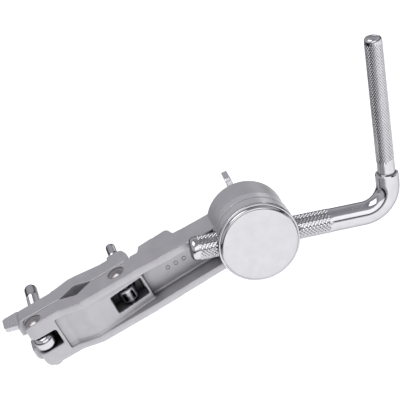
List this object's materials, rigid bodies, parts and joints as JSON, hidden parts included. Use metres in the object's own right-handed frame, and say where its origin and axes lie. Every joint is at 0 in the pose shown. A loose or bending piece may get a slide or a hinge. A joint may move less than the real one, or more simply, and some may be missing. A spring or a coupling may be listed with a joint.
{
  "type": "accessory clamp",
  "caption": "Cast V-jaw tube clamp on a channelled arm, with a round swivelling joint that grips a knurled, stepped L-shaped rod.",
  "frame": {"origin": "on the axis of the gripped tube, at the middle of the closed jaws (the jaws' mid-height, in their parting plane)", "axes": "+Z along the gripped tube, +X along the arm from the jaws to the round joint, +Y to the rear, where the bolts' free ends and wing nuts are"},
  "size_m": [0.2561, 0.0944, 0.0954],
  "materials": {
    "cast_aluminium": "tumbled die-cast aluminium, satin",
    "chrome_steel": "bright chromed steel",
    "mirror_chrome": "mirror chromed pressed steel",
    "zinc_steel": "bright zinc-plated steel",
    "nickel_zinc": "satin nickel-plated casting",
    "friction_fibre": "matte dark fibre"
  },
  "bodies": {
    "arm": {"arm_casting": "cast_aluminium", "tip_pivot_pin": "zinc_steel", "heel_pivot_pin": "zinc_steel", "friction_ring": "friction_fibre", "joint_spring": "zinc_steel"},
    "joint_head": {"rear_clamp_disc": "cast_aluminium", "front_clamp_disc": "cast_aluminium", "joint_cap": "mirror_chrome", "housing_screws": "zinc_steel", "joint_eye_bolt": "chrome_steel"},
    "rod": {"l_rod": "chrome_steel"},
    "joint_washer": {"joint_washer": "zinc_steel"},
    "joint_nut": {"joint_wing_nut": "nickel_zinc"},
    "tip_bolt": {"tip_eye_bolt": "chrome_steel"},
    "tip_washer": {"tip_washer": "zinc_steel"},
    "tip_nut": {"tip_wing_nut": "nickel_zinc"},
    "jaw": {"rear_jaw": "cast_aluminium"},
    "heel_bolt": {"heel_eye_bolt": "chrome_steel"},
    "heel_washer": {"heel_washer": "zinc_steel"},
    "heel_nut": {"heel_nut": "zinc_steel"}
  },
  "joints": [
    {"name": "joint_swivel", "type": "hinge", "parent": "arm", "child": "joint_head", "pos_m": [0.1, 0, 0], "axis": [0, 1, 0], "continuous": true},
    {"name": "rod_slide", "type": "slide", "parent": "joint_head", "child": "rod", "axis": [0.9379, 0, -0.3469], "range_m": [-0.034, 0.03]},
    {"name": "joint_nut_travel", "type": "slide", "parent": "joint_head", "child": "joint_washer", "axis": [0, 1, 0], "range_m": [0, 0.005]},
    {"name": "joint_nut_turn", "type": "hinge", "parent": "joint_washer", "child": "joint_nut", "pos_m": [0.1, 0, 0], "axis": [0, 1, 0], "range_deg": [0, 1441]},
    {"name": "tip_bolt_swing", "type": "hinge", "parent": "arm", "child": "tip_bolt", "pos_m": [-0.0275, -0.0071, 0], "axis": [0, 0, 1], "range_deg": [0, 100]},
    {"name": "tip_nut_travel", "type": "slide", "parent": "tip_bolt", "child": "tip_washer", "axis": [0, 1, 0], "range_m": [0, 0.015]},
    {"name": "tip_nut_turn", "type": "hinge", "parent": "tip_washer", "child": "tip_nut", "pos_m": [-0.0275, 0, 0], "axis": [0, 1, 0], "range_deg": [0, 4322]},
    {"name": "jaw_opening", "type": "hinge", "parent": "arm", "child": "jaw", "pos_m": [0.0336, 0.0001, 0], "axis": [0, 0, -1], "range_deg": [0, 14.15]},
    {"name": "heel_bolt_tilt", "type": "hinge", "parent": "arm", "child": "heel_bolt", "pos_m": [0.0245, -0.0071, 0], "axis": [0, 0, -1], "range_deg": [0, 7.2]},
    {"name": "heel_nut_travel", "type": "slide", "parent": "heel_bolt", "child": "heel_washer", "axis": [0, 1, 0], "range_m": [0, 0.015]},
    {"name": "heel_nut_turn", "type": "hinge", "parent": "heel_washer", "child": "heel_nut", "pos_m": [0.0245, 0, 0], "axis": [0, 1, 0], "range_deg": [0, 5403]}
  ],
  "couplings": [
    {"joint": "joint_nut_turn", "follows": "joint_nut_travel", "rad_per_m": 5026.5},
    {"joint": "tip_nut_turn", "follows": "tip_nut_travel", "rad_per_m": 5026.5},
    {"joint": "jaw_opening", "follows": "tip_nut_travel", "rad_per_m": 16.39},
    {"joint": "heel_bolt_tilt", "follows": "tip_nut_travel", "rad_per_m": 8.3097},
    {"joint": "heel_nut_turn", "follows": "heel_nut_travel", "rad_per_m": 6283.2}
  ]
}
